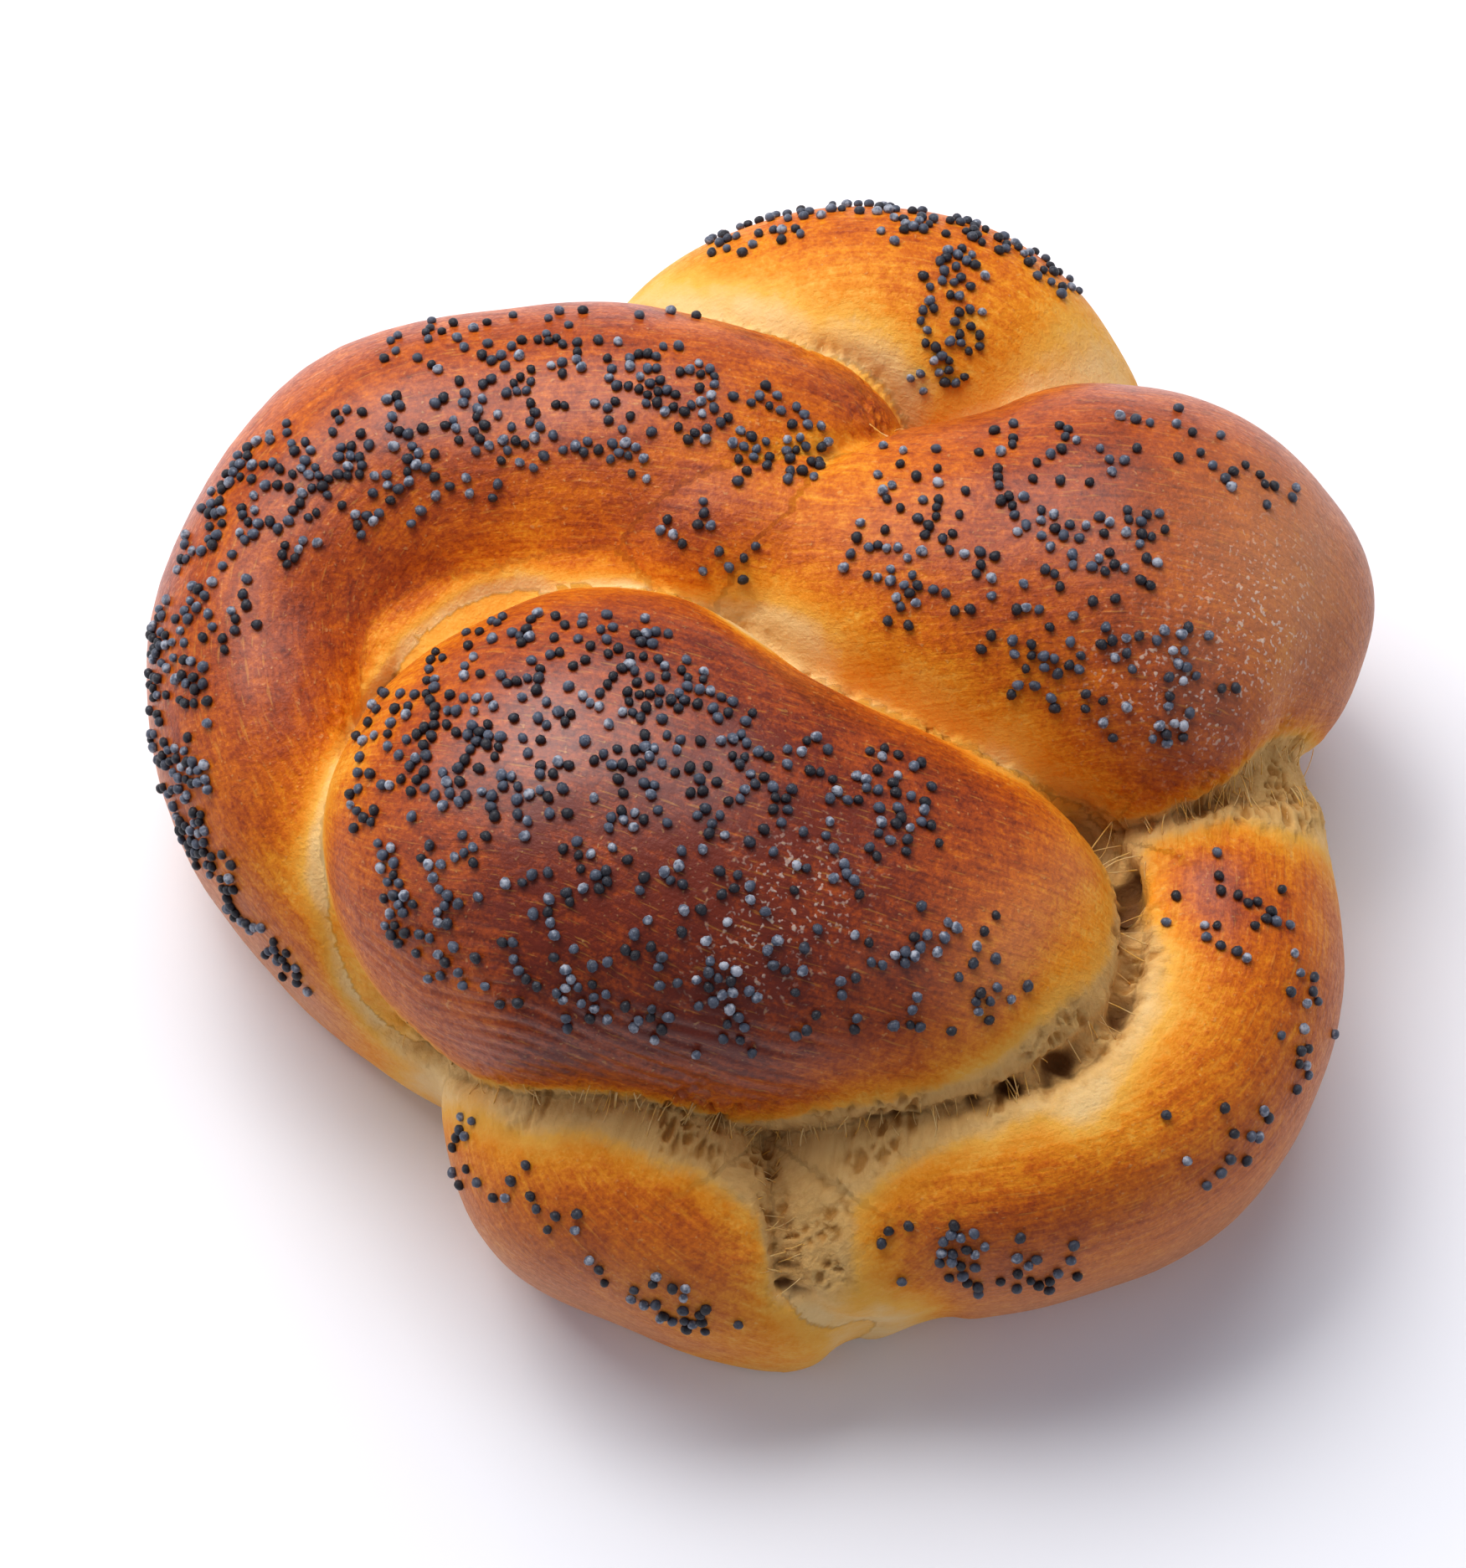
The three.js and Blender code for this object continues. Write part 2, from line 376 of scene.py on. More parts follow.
class Strand:
    """One strand of dough, sampled along its middle line."""

    def __init__(self, name):
        line = along(STRANDS[name], np.linspace(0, 1, LINE_STEPS))
        self.line = line[:, :3] - LAYOUT_MIDDLE
        self.half_width, self.half_height, self.bake = line[:, 3], line[:, 4], line[:, 5]
        self.ahead, self.side, self.top = directions(np.gradient(self.line, axis=0))
        self.run = np.concatenate([[0], np.cumsum(np.linalg.norm(np.diff(self.line, axis=0), axis=1))])
        self.drop = self.half_height if name in UPPER_STRANDS else self.line[:, 2] + BASE_SINK

    def field(self, points):
        """For each point: the gap to the strand's surface, its nearest place on that surface, how far along
        and how far round the strand it is, and how dark the strand is baked there."""
        ends = min(self.half_width[0], self.run[-1] / 2), min(self.half_width[-1], self.run[-1] / 2)
        inner = (self.run >= ends[0]) & (self.run <= self.run[-1] - ends[1])
        inner[LINE_STEPS // 2] = True
        to_tip = np.minimum(self.run, self.run[-1] - self.run)
        places = np.flatnonzero(inner)
        line = self.line[places]
        squared = (line**2).sum(1) - 2 * points @ line.T
        near = places[squared.argmin(1)]
        offset = points - self.line[near]
        ahead = (offset * self.ahead[near]).sum(1)
        across = (offset * self.side[near]).sum(1)
        rise = (offset * self.top[near]).sum(1)
        width = self.half_width[near]
        height = np.where(rise < 0, self.drop[near], self.half_height[near])
        shares = np.abs(np.stack([across / width, rise / height, ahead / to_tip[near]]))
        share = np.maximum((shares**SECTION_FULLNESS).sum(0) ** (1 / SECTION_FULLNESS), 1e-3)
        gap = np.linalg.norm(offset, axis=1) * (1 - 1 / share)
        surface = self.line[near] + offset / share[:, None]
        around = np.arctan2(across, rise) * width
        return gap, surface, self.run[near] + ahead, around, self.bake[near]


def draw_out(vertices, strand_name):
    """Turns a unit ball into a strand: its poles go to the strand's ends, which stay round."""
    stations = STRANDS[strand_name]
    ball = np.array([v.co for v in vertices])
    share = (1 - ball[:, 2].clip(-1, 1)) / 2
    line = along(stations, share)
    later = along(stations, np.clip(share + SHARE_STEP, 0, 1))[:, :3]
    earlier = along(stations, np.clip(share - SHARE_STEP, 0, 1))[:, :3]
    _, side, top = directions(later - earlier)
    dense = along(stations, np.linspace(0, 1, LINE_STEPS))[:, :3]
    length = np.linalg.norm(np.diff(dense, axis=0), axis=1).sum()
    from_end = np.minimum(share, 1 - share) * length
    cap = np.sqrt(1 - np.maximum(0, 1 - from_end / line[:, 3]) ** 2)
    angle = np.arctan2(ball[:, 1], ball[:, 0])
    powers = np.abs(np.cos(angle)) ** SECTION_FULLNESS + np.abs(np.sin(angle)) ** SECTION_FULLNESS
    reach = cap * powers ** (-1 / SECTION_FULLNESS)
    rests = strand_name not in UPPER_STRANDS
    drop = np.where((angle < 0) & rests, line[:, 2] + BASE_SINK, line[:, 4])
    place = line[:, :3] - LAYOUT_MIDDLE
    place = place + side * (line[:, 3] * reach * np.cos(angle))[:, None]
    place = place + top * (drop * reach * np.sin(angle))[:, None]
    for vertex, co in zip(vertices, place * MM):
        vertex.co = co


def noise_at(points, wavelength, shift=0.0):
    """Smooth noise from -1 to 1 at points in millimetres."""
    return np.array([noise.noise(Vector(p)) for p in points / wavelength + shift])


# ---- Objects and meshes ----


def new_object(name, bm, smooth=True):
    """An object at the origin from a bmesh."""
    mesh = bpy.data.meshes.new(name)
    bm.to_mesh(mesh)
    bm.free()
    if smooth:
        mesh.shade_smooth()
    piece = bpy.data.objects.new(name, mesh)
    bpy.context.scene.collection.objects.link(piece)
    return piece


def read_vertices(mesh, what="co"):
    """A mesh's places or normals as rows."""
    values = np.empty(len(mesh.vertices) * 3, np.float32)
    mesh.vertices.foreach_get(what, values)
    return values.reshape(-1, 3).astype(float)


def write_vertices(mesh, places):
    """Moves a mesh's vertices."""
    mesh.vertices.foreach_set("co", places.astype(np.float32).ravel())
    mesh.update()


def store(mesh, name, values):
    """Keeps a number or a vector for each vertex, for the materials to read."""
    vector = values.ndim == 2
    layer = mesh.attributes.new(name, "FLOAT_VECTOR" if vector else "FLOAT", "POINT")
    layer.data.foreach_set("vector" if vector else "value", values.astype(np.float32).ravel())


def relax(places, edges, weight, rounds):
    """Moves each place towards the mean of its neighbours, more where the weight is high."""
    count = np.bincount(edges.ravel(), minlength=len(places))[:, None]
    for _ in range(rounds):
        total = np.zeros_like(places)
        for axis in range(3):
            total[:, axis] += np.bincount(edges[:, 0], places[edges[:, 1], axis], len(places))
            total[:, axis] += np.bincount(edges[:, 1], places[edges[:, 0], axis], len(places))
        places = places + (total / count - places) * weight[:, None]
    return places


def read_edges(mesh):
    """A mesh's edges as rows of two vertex numbers."""
    values = np.empty(len(mesh.edges) * 2, np.int32)
    mesh.edges.foreach_get("vertices", values)
    return values.reshape(-1, 2)


# ---- The dough ----

BALL_SIDES = 64
BALL_RINGS = 96
SKIN_SMOOTHING = 6  # rounds that take the remesh's steps away
HOLLOW_ROUNDS = 30  # rounds that soften the hollows between lobes that grew together
SEAM_ROUNDS = 4  # rounds that soften the bottoms of the seams
FUSED_REACH = 4.0  # how far such a hollow reaches over both lobes, in millimetres
BLEND_REACH = 2.5  # how far one lobe's bake carries over onto the next
DEEPEST = 2.2  # how deep a gap is when the painted shade at its bottom is full, in millimetres
NO_SEAM = 99.0  # the distance to the nearest seam where there is none
LOBE_SHIFT = 40.0  # keeps one lobe's streaks from going on over the next
WRINKLE_DEPTH = 0.28
FINE_REACH = (0.7, 3.9)  # how far from a plain and from a torn seam the faces are halved, in millimetres
FINE_LOWEST = 6.0  # height below which they aren't


class Skin:
    """What the strands say about each point of the dough: its lobe, seams, bake and grain."""

    def __init__(self, points):
        names = list(LOBES)
        strands = {s: Strand(s) for members in LOBES.values() for s in members}
        gaps, surfaces, runs, arounds, bakes = [], [], [], [], []
        for name in names:
            fields = [strands[s].field(points) for s in LOBES[name]]
            first = np.argmin([f[0] for f in fields], axis=0)
            pick = lambda k: np.choose(first, [f[k] for f in fields])
            gaps.append(pick(0))
            runs.append(pick(2))
            arounds.append(pick(3))
            bakes.append(pick(4))
            surfaces.append(np.stack([np.choose(first, [f[1][:, i] for f in fields]) for i in range(3)], -1))
        self.gaps = np.array(gaps)
        self.owner = self.gaps.argmin(0)
        rows = np.arange(len(points))
        run, around = np.array(runs)[self.owner, rows], np.array(arounds)[self.owner, rows]
        self.grain = np.stack([run, around, self.owner * LOBE_SHIFT], -1)
        self.bake = self.blended(np.array(bakes))
        self.pale = np.zeros(len(points))
        self.seam = np.full(len(points), NO_SEAM)
        self.across = np.array(surfaces)[self.owner, rows]
        for own, own_name in enumerate(names):
            mine = self.owner == own
            for other, other_name in enumerate(names):
                if own == other or {own_name, other_name} in FUSED or other_name == "under":
                    continue
                gap = np.maximum(self.gaps[other][mine], 0)
                reach, strength = PALE_BANDS.get(own_name, {}).get(other_name, OTHER_BAND)
                fade = 0.65 * falling(gap, reach) + 0.35 * falling(gap, 2.3 * reach)
                self.pale[mine] = np.maximum(self.pale[mine], strength * fade)
                closer = gap < self.seam[mine]
                rows_here = np.flatnonzero(mine)[closer]
                self.seam[rows_here] = gap[closer]
                self.across[rows_here] = surfaces[other][rows_here]

    def blended(self, values):
        """The lobes' values mixed by how near each lobe's surface is."""
        weight = falling(np.maximum(self.gaps, 0), BLEND_REACH)
        return (values * weight).sum(0) / weight.sum(0)


def spots(points, places):
    """The sum of soft round spots: each x, y, z, reach and strength."""
    total = np.zeros(len(points))
    for x, y, z, reach, strength in places:
        squared = ((points - (x, y, z)) ** 2).sum(1) / reach**2
        total += strength * np.exp(-squared)
    return total


def remeshed_dough(step):
    """All strands as one closed skin of even small faces, cut flat at the base."""
    bm = bmesh.new()
    for name in STRANDS:
        made = bmesh.ops.create_uvsphere(bm, u_segments=BALL_SIDES, v_segments=BALL_RINGS, radius=1.0)
        draw_out(made["verts"], name)
    dough = new_object("dough", bm)
    skin = dough.modifiers.new("Skin", "REMESH")
    skin.mode = "VOXEL"
    skin.voxel_size = step
    smoothing = dough.modifiers.new("Smoothing", "SMOOTH")
    smoothing.factor = 0.5
    smoothing.iterations = SKIN_SMOOTHING
    finished = bpy.data.meshes.new_from_object(dough.evaluated_get(bpy.context.evaluated_depsgraph_get()))
    bpy.data.objects.remove(dough)
    bm = bmesh.new()
    bm.from_mesh(finished)
    bpy.data.meshes.remove(finished)
    cut = bmesh.ops.bisect_plane(
        bm, geom=bm.verts[:] + bm.edges[:] + bm.faces[:], dist=step * 0.02,
        plane_co=(0, 0, 0), plane_no=(0, 0, -1), clear_outer=True)
    rim = [e for e in cut["geom_cut"] if isinstance(e, bmesh.types.BMEdge)]
    bmesh.ops.triangle_fill(bm, use_beauty=False, edges=rim, normal=(0, 0, -1))
    refine_seams(bm)
    bmesh.ops.recalc_face_normals(bm, faces=bm.faces[:])
    return new_object("crust", bm)


def refine_seams(bm):
    """Halves the faces along the seams, where the crumb tore and fine detail is needed."""
    places = np.array([v.co for v in bm.verts]) / MM
    skin = Skin(places)
    open_share = np.clip(spots(places, TEARS), 0, 1)
    reach = FINE_REACH[0] + (FINE_REACH[1] - FINE_REACH[0]) * smooth_step(0.1, 0.5, open_share)
    near = ((skin.seam < reach) | (wrinkle_zone(places, skin) > 0.3)) & (places[:, 2] > FINE_LOWEST)
    edges = [e for e in bm.edges if near[e.verts[0].index] and near[e.verts[1].index]]
    bmesh.ops.subdivide_edges(bm, edges=edges, cuts=1, use_grid_fill=True)


def build_crust(sizes):
    """The baked dough, with its seams, torn crumb and slow bulges, and what its material needs to know."""
    crust = remeshed_dough(sizes.skin_step)
    mesh = crust.data
    edges = read_edges(mesh)
    points = read_vertices(mesh) / MM
    free = smooth_step(0.0, 1.5, points[:, 2])  # 0 on the flat base, which stays put
    skin = Skin(points)

    # Lobes that grew together have soft hollows between them instead of seams.
    fused = falling(np.maximum(np.sort(skin.gaps, 0)[1], 0), FUSED_REACH)
    points = relax(points, edges, 0.5 * free * fused * (skin.seam > 3.0), HOLLOW_ROUNDS)
    points = relax(points, edges, 0.5 * free * falling(skin.seam, 1.6), SEAM_ROUNDS)
    write_vertices(mesh, points * MM)
    normals = read_vertices(mesh, "normal")

    torn = np.clip(spots(points, TEARS), 0, 1) * falling(skin.seam, 7.5)
    bulges = noise_at(points, 17.0, 3.1) + 0.35 * noise_at(points, 6.5, 9.2)
    crack = falling(skin.seam, 0.9) * (0.55 + 0.45 * noise_at(points, 9.0, 5.5))
    ridges = 1 - np.abs(noise_at(skin.across, 1.1, 2.2)) * 2
    lumps = noise_at(points, 1.9, 4.4)
    cells = crumb_cells(points, skin, torn)
    wrinkles = build_wrinkles(points, skin)
    ragged = np.clip(0.8 + 1.3 * noise_at(points, 1.7, 7.7), 0.1, 1.6)
    open_gap = spots(points, CREVICES) * falling(skin.seam, 0.8) * ragged
    push = (
        sizes.swell / MM * bulges
        - open_gap
        - sizes.crease / MM * crack
        + sizes.tear / MM * torn * (0.6 * ridges + 0.6 * lumps)
        - sizes.cell / MM * cells
        + wrinkles
    )
    points = points + normals * (push * free)[:, None]
    points[:, 2] = np.maximum(points[:, 2], 0)
    write_vertices(mesh, points * MM)

    store(mesh, "cells", cells)
    # How deep the open gaps are, which sets the painted shade at their bottom.
    store(mesh, "deep", np.clip(open_gap / DEEPEST, 0, 1))
    store(mesh, "grain", skin.grain)
    store(mesh, "pull", skin.across)
    bake_crust(mesh, points, skin, torn)
    return crust, skin


def bake_crust(mesh, points, skin, torn):
    """Works out how dark, torn, tan and dusty the crust is, and stores it for the material. The darkness
    holds some painted shade and sheen, and the tan some painted bounce light.
    """
    height = points[:, 2]
    rise = read_vertices(mesh, "normal")[:, 2]
    flank = smooth_step(0.0, 11.0, height)
    facing = smooth_step(-0.35, 0.55, rise)
    bake = skin.bake * (0.62 + 0.38 * flank) * (0.86 + 0.14 * facing) * (1 - 0.97 * skin.pale)
    # Darker and lighter spots: partly how the oven baked, partly painted shade and painted sheen.
    bake = bake + spots(points, BAKE_SHADE_AND_SHEEN_SPOTS)
    bake = bake + 0.05 * noise_at(points, 14.0, 1.5) + 0.03 * noise_at(points, 5.0, 8.5)
    # Undersides that overhang a seam are bare crumb.
    hidden = smooth_step(0.2, 0.6, -rise) * smooth_step(13.0, 18.0, height)
    hidden = hidden * (1 - smooth_step(6.0, 12.0, skin.seam))
    # Tan low on the sides and at the listed spots: partly dull, less baked crust, partly painted bounce light
    # from the pale floor.
    tan = 0.8 * (1 - smooth_step(6.0, 30.0, height)) + spots(points, TAN_AND_BOUNCE_LIGHT_SPOTS)
    store(mesh, "bake", np.clip(bake, 0, 1) * (1 - hidden))
    store(mesh, "torn", np.maximum(torn, hidden))
    store(mesh, "tan", np.clip(tan, 0, 1))
    store(mesh, "dust", np.clip(spots(points, DUST_SPOTS), 0, 1))


def crumb_cells(points, skin, torn):
    """How open the torn crumb's cells are, from 0 on their webs to 1. They are drawn out across the seam."""
    cells = np.zeros(len(points))
    places = (0.45 * points + 0.55 * skin.across) / 1.15
    places = places + 0.5 * noise_at(points, 1.9, 3.3)[:, None]
    for row in np.flatnonzero(torn > 0.02):
        near, next_near = noise.voronoi(Vector(places[row]))[0][:2]
        cells[row] = next_near - near
    return smooth_step(0.05, 0.42, cells) * smooth_step(-0.25, 0.25, noise_at(places, 3.1, 8.8)) * torn


def wrinkle_zone(points, skin):
    """How much the centre lobe's crust is folded, from 0 to 1."""
    return np.clip(spots(points, WRINKLE_SPOTS), 0, 1) * (skin.owner == list(LOBES).index("centre"))


def build_wrinkles(points, skin):
    """Fine folds along the lower side of the centre lobe, as a height."""
    folds = np.abs(np.sin(skin.grain[:, 1] * 1.8 + 3.2 * noise_at(points, 12.0, 6.1)))
    strength = wrinkle_zone(points, skin) * (0.8 + 0.8 * noise_at(points, 6.0, 2.7))
    return -WRINKLE_DEPTH * strength * (1 - folds) ** 1.6


# ---- Shader maths ----


class Channel:
    """A node's output socket. Arithmetic on it adds Math nodes."""

    def __init__(self, tree, socket):
        self.tree, self.socket = tree, socket

    def node(self, kind, settings=None, inputs=None, output=0):
        """Adds any node to this channel's tree: its settings first, then its sockets' values or links."""
        return add_node(self.tree, kind, settings, inputs, output)

    def maths(self, operation, other):
        """A Math node with this channel first."""
        return self.node("ShaderNodeMath", {"operation": operation}, {0: self, 1: other})

    def __add__(self, other):
        return self.maths("ADD", other)

    __radd__ = __add__

    def __sub__(self, other):
        return self.maths("SUBTRACT", other)

    def __rsub__(self, other):
        return self.node("ShaderNodeMath", {"operation": "SUBTRACT"}, {0: other, 1: self})

    def __mul__(self, other):
        return self.maths("MULTIPLY", other)

    __rmul__ = __mul__

    def between(self, low, high):
        """0 below low, 1 above high, and smooth between."""
        settings = {"interpolation_type": "SMOOTHSTEP"}
        return self.node("ShaderNodeMapRange", settings, {"Value": self, "From Min": low, "From Max": high})


def add_node(tree, kind, settings=None, inputs=None, output=0):
    """Adds a node of a type: its settings first, then the values or links of its sockets."""
    node = tree.nodes.new(kind)
    for name, value in (settings or {}).items():
        if name == "stops":
            set_stops(node.color_ramp, value)
        else:
            setattr(node, name, value)
    for name, value in (inputs or {}).items():
        socket = node.inputs[name]
        if isinstance(value, Channel):
            tree.links.new(value.socket, socket)
        else:
            socket.default_value = value
    return Channel(tree, node.outputs[output]) if len(node.outputs) else None


def set_stops(ramp, stops):
    """Gives a colour ramp its stops: each a position and a colour."""
    while len(ramp.elements) > len(stops):
        ramp.elements.remove(ramp.elements[-1])
    while len(ramp.elements) < len(stops):
        ramp.elements.new(1.0)
    for element, (position, colour) in zip(ramp.elements, stops):
        element.position = position
        element.color = opaque(colour)


def new_material(name):
    """An empty node material and its tree."""
    material = bpy.data.materials.new(name)
    material.use_nodes = True
    material.node_tree.nodes.clear()
    return material, material.node_tree


def mix_colours(tree, share, first, second):
    """The first colour, turned into the second by the share."""
    first, second = (c if isinstance(c, Channel) else opaque(c) for c in (first, second))
    inputs = {0: share, 6: first, 7: second}
    return add_node(tree, "ShaderNodeMix", {"data_type": "RGBA"}, inputs, output=2)


def opaque(colour):
    """A colour with full alpha."""
    return (*colour[:3], 1.0)


def finish_material(tree, inputs):
    """The Principled shader with these sockets, joined to the output."""
    shader = add_node(tree, "ShaderNodeBsdfPrincipled", None, inputs)
    add_node(tree, "ShaderNodeOutputMaterial", None, {"Surface": shader})


def stretched(tree, attribute, scale):
    """A vector attribute multiplied by a scale for each axis."""
    vector = add_node(tree, "ShaderNodeAttribute", {"attribute_name": attribute}, None, output="Vector")
    return add_node(tree, "ShaderNodeVectorMath", {"operation": "MULTIPLY"}, {0: vector, 1: scale})


def noise_channel(tree, vector, scale, detail=2.0, roughness=0.5, distortion=0.0):
    """Noise from 0 to 1."""
    return add_node(tree, "ShaderNodeTexNoise", None, {
        "Vector": vector,
        "Scale": scale,
        "Detail": detail,
        "Roughness": roughness,
        "Distortion": distortion,
    })


def bumped(tree, height, strength, distance):
    """A Bump node's normal: the height's full range stands up by the distance, in millimetres."""
    inputs = {"Strength": strength, "Distance": distance * MM, "Height": height}
    return add_node(tree, "ShaderNodeBump", None, inputs, output="Normal")


def object_place(tree):
    """Object coordinates."""
    return add_node(tree, "ShaderNodeTexCoord", None, None, output="Object")


def stored(tree, name):
    """A number kept for each vertex."""
    return add_node(tree, "ShaderNodeAttribute", {"attribute_name": name}, None, output="Fac")


def crust_material(colours):
    """Egg-glazed crust, pale to dark brown, with streaks along the strands, specks and painted glints, torn
    crumb with painted shade in its cells, painted shade in the open gaps, tan with painted bounce light, and
    flour.
    """
    material, tree = new_material("baked crust")
    names = ("bake", "torn", "dust", "cells", "deep", "tan")
    bake, torn, dust, cells, deep, tan = (stored(tree, name) for name in names)
    place = object_place(tree)
    mottle = noise_channel(tree, place, 0.13 / MM, 5.0, 0.62) - 0.5
    fine = noise_channel(tree, place, 0.95 / MM, 4.0, 0.62) - 0.5
    grit = noise_channel(tree, place, 2.6 / MM, 2.0, 0.55) - 0.5
    streaks = noise_channel(tree, stretched(tree, "grain", (0.16, 1.3, 1.0)), 1.0, 5.0, 0.66, 0.4) - 0.5
    dashes = noise_channel(tree, stretched(tree, "grain", (0.45, 3.2, 1.0)), 1.0, 1.0, 0.4)
    sparkle = noise_channel(tree, place, 2.1 / MM, 1.0, 0.4)
    fibres = noise_channel(tree, stretched(tree, "pull", (1.6, 1.6, 1.6)), 1.0, 3.0, 0.6, 0.3)

    baked = bake.between(0.10, 0.50)
    level = bake + mottle * 0.55 + baked * (streaks * 0.55 + fine * 0.50 + grit * 0.45)
    ramp = [
        (0.00, colours.cream),
        (0.17, colours.yellow),
        (0.36, colours.golden),
        (0.56, colours.orange),
        (0.76, colours.brown),
        (1.00, colours.dark),
    ]
    crust = add_node(tree, "ShaderNodeValToRGB", {"stops": ramp}, {"Fac": level})
    # Tan mixed in: partly dull crust, partly painted bounce light from the pale floor.
    crust = mix_colours(tree, tan * bake.between(0.30, 0.60) * 0.75, crust, colours.tan)
    crust = mix_colours(tree, dashes.between(0.62, 0.74) * baked * 0.22, crust, colours.yellow)
    # Tiny pale spots: partly pale specks, partly painted glints of light on glossy bumps.
    crust = mix_colours(tree, sparkle.between(0.68, 0.78) * baked * 0.30, crust, colours.crumb)
    # Torn crumb: pale webs, with painted shade in the cells between them.
    web = (1 - cells.between(0.05, 0.6)) * 0.7 + fibres.between(0.35, 0.65) * 0.3
    crumb = mix_colours(tree, web, colours.cell_shade, colours.crumb)
    bare = (torn * (1 - bake.between(0.04, 0.42)) + fine * 0.7).between(0.20, 0.75)
    surface = mix_colours(tree, bare, crust, crumb)
    # Painted shade: the open gaps grow dark towards their bottom.
    surface = mix_colours(tree, deep.between(0.25, 0.75), surface, colours.gap)
    powder = dust * sparkle.between(0.60, 0.68)
    surface = mix_colours(tree, powder * 0.8, surface, colours.flour)

    matt = bare * 0.25 + powder * 0.3
    gloss = 0.52 - bake.between(0.2, 0.8) * 0.14 + fine * 0.35 + grit * 0.25 + matt
    glaze = bake.between(0.52, 0.92) * 0.54 * (1 - tan * 0.7) - matt
    relief = fine * 0.8 + streaks * 0.5 + grit * 0.30 + fibres * torn * 1.3 + sparkle.between(0.6, 0.8) * 0.12
    finish_material(tree, {
        "Base Color": surface,
        "Roughness": gloss,
        "Normal": bumped(tree, relief, 0.7, 0.32),
        "Coat Weight": glaze,
        "Coat Roughness": 0.30,
        "IOR": 1.45,
        "Specular IOR Level": 0.13,
        "Subsurface Weight": 0.07,
        "Subsurface Radius": (1.0, 0.45, 0.18),
        "Subsurface Scale": 1.4 * MM,
    })
    return material


def seed_material(colours):
    """Poppy seeds: near-black to slate-blue, netted, with dust on some."""
    material, tree = new_material("poppy seed")
    tone = stored(tree, "tone")
    place = object_place(tree)
    net = add_node(
        tree, "ShaderNodeTexVoronoi", {"feature": "DISTANCE_TO_EDGE"},
        {"Vector": place, "Scale": 5.2 / MM}, output="Distance")
    bloom = noise_channel(tree, place, 1.6 / MM, 3.0, 0.6)
    slaty = (tone + (bloom - 0.5) * 0.8).between(0.2, 0.9)
    dusty = (tone + (bloom - 0.5) * 1.4).between(0.78, 1.15)
    slate = mix_colours(tree, slaty, colours.seed_dark, colours.seed_slate)
    finish_material(tree, {
        "Base Color": mix_colours(tree, dusty, slate, colours.seed_dusty),
        "Roughness": 0.46 - tone * 0.10,
        "Normal": bumped(tree, net.between(0.0, 0.12), 0.6, 0.05),
        "IOR": 1.45,
    })
    return material


def thread_material(colours):
    """Stretched threads of pale crumb."""
    material, tree = new_material("crumb thread")
    shade = noise_channel(tree, object_place(tree), 0.6 / MM, 3.0, 0.6)
    surface = mix_colours(tree, shade.between(0.35, 0.65), colours.yellow, colours.cream)
    finish_material(tree, {
        "Base Color": surface,
        "Roughness": 0.65 + (shade - 0.5) * 0.2,
        "Normal": bumped(tree, shade, 0.4, 0.05),
        "Subsurface Weight": 0.3,
        "Subsurface Radius": (1.0, 0.6, 0.3),
        "Subsurface Scale": 0.6 * MM,
    })
    return material


def floor_material(colours):
    """A pale matte table."""
    material, tree = new_material("pale floor")
    cloud = noise_channel(tree, object_place(tree), 2.0, 2.0)
    finish_material(tree, {"Base Color": opaque(colours.floor), "Roughness": 0.7 + cloud * 0.1})
    return material


# ---- Seeds and threads ----

SEED_BALL = (8, 6)  # sides and rings
THREAD_BALL = (4, 7)
CLUMP_WIDTH = 2.8  # how far apart the clumps of seeds are, in millimetres
TRIES = 4  # how many places are tried for each seed
SEED_RISE = 0.5  # how high a seed's middle stands over the crust, as a share of its half length
SHORTEST_THREAD = 0.8  # millimetres


def triangles_of(mesh):
    """Each loop triangle's three corners, its normal and its area, in millimetres."""
    mesh.calc_loop_triangles()
    count = len(mesh.loop_triangles)
    corners = np.empty(count * 3, np.int32)
    mesh.loop_triangles.foreach_get("vertices", corners)
    corners = corners.reshape(-1, 3)
    places = read_vertices(mesh)[corners] / MM
    cross = np.cross(places[:, 1] - places[:, 0], places[:, 2] - places[:, 0])
    double = np.maximum(np.linalg.norm(cross, axis=1), 1e-9)
    return places, cross / double[:, None], double / 2


def distance_to_segment(points, start, end):
    """How far points are from the straight line between two places."""
    start, end = np.array(start, float), np.array(end, float)
    line = end - start
    share = np.clip(((points - start) @ line) / max(line @ line, 1e-9), 0, 1)
    return np.linalg.norm(points - start - share[:, None] * line, axis=1)


def turned_to(normal, spin):
    """A rotation that puts +Z along a normal, after a spin about +Z."""
    return Vector(normal).to_track_quat("Z", "Y").to_matrix() @ Matrix.Rotation(spin, 3, "Z")


